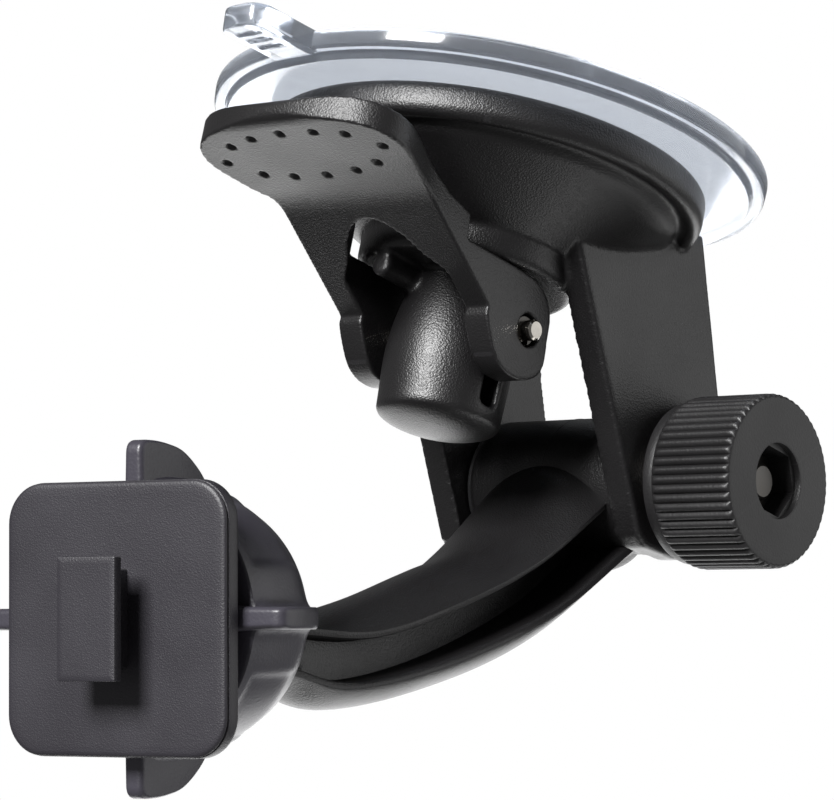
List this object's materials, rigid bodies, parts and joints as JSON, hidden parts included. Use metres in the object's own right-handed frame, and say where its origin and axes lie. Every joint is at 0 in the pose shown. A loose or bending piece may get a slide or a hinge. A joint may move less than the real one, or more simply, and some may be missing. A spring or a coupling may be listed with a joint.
{
  "type": "suction-cup camera bracket",
  "caption": "Windscreen bracket: clear suction pad, cam lever, two-legged housing, clamp knob, curved arm and a ball joint with a T-hook plate for a dash camera.",
  "frame": {"origin": "centre of the suction pad's glass face", "axes": "+Z into the glass along the plunger; +X along the lever pin and clamp screw towards the knob; -Y towards the lever paddle and the camera plate"},
  "size_m": [0.088, 0.1217, 0.1195],
  "materials": {
    "clear_pvc": "clear, glossy",
    "black_abs": "fine spark texture",
    "grey_abs": "fine spark texture",
    "knob_plastic": "matte",
    "black_nylon": "smooth",
    "bright_steel": "bright nickel",
    "steel": "zinc plated",
    "spring_steel": "drawn wire"
  },
  "bodies": {
    "glass_side": {"suction_pad": "clear_pvc", "plunger_stem": "black_nylon", "spring_washer": "steel", "release_spring": "spring_steel", "lever_pin": "bright_steel", "pin_clips": "bright_steel"},
    "housing": {"base_housing": "black_abs", "clamp_screw": "steel", "screw_washer": "steel"},
    "lever": {"cam_lever": "black_abs"},
    "knob_stack": {"knob_washer": "steel"},
    "knob": {"clamp_knob": "knob_plastic", "knob_nut": "steel"},
    "arm_body": {"arm": "black_abs", "ball_stud": "black_nylon", "friction_washers": "black_nylon"},
    "liner": {"ball_liner": "black_nylon"},
    "seat": {"seat_disc": "black_nylon"},
    "head": {"camera_plate": "grey_abs"},
    "collar_body": {"collar": "grey_abs"}
  },
  "joints": [
    {"name": "lever_open", "type": "hinge", "parent": "glass_side", "child": "lever", "pos_m": [0, 0, -0.0326], "axis": [1, 0, 0], "range_deg": [0, 80]},
    {"name": "housing_slide", "type": "slide", "parent": "glass_side", "child": "housing", "axis": [0, 0, 1], "range_m": [-0.00319, 0], "deforming": ["release_spring"]},
    {"name": "arm_tilt", "type": "hinge", "parent": "housing", "child": "arm_body", "pos_m": [0, 0.0374, -0.0451], "axis": [1, 0, 0], "range_deg": [-4, 110]},
    {"name": "knob_back_off", "type": "slide", "parent": "housing", "child": "knob_stack", "axis": [1, 0, 0], "range_m": [0, 0.0015]},
    {"name": "knob_turn", "type": "hinge", "parent": "knob_stack", "child": "knob", "pos_m": [0, 0.0374, -0.0451], "axis": [1, 0, 0], "range_deg": [0, 540]},
    {"name": "ball_yaw", "type": "hinge", "parent": "arm_body", "child": "liner", "pos_m": [0, -0.0445, -0.0918], "axis": [0, -0.289, 0.9573], "range_deg": [-24, 6]},
    {"name": "ball_pitch", "type": "hinge", "parent": "liner", "child": "seat", "pos_m": [0, -0.0445, -0.0918], "axis": [0.9877, 0.1498, 0.0452], "range_deg": [-32, 5]},
    {"name": "plate_roll", "type": "hinge", "parent": "seat", "child": "head", "pos_m": [0, -0.0445, -0.0918], "axis": [0.1564, -0.9455, -0.2855], "continuous": true},
    {"name": "collar_turn", "type": "hinge", "parent": "head", "child": "collar_body", "pos_m": [0, -0.0445, -0.0918], "axis": [0.1564, -0.9455, -0.2855], "range_deg": [0, 120]}
  ],
  "couplings": [
    {"joint": "lever_open", "follows": "housing_slide", "rad_per_m": -436.68},
    {"joint": "knob_turn", "follows": "knob_back_off", "rad_per_m": 6283.2}
  ]
}
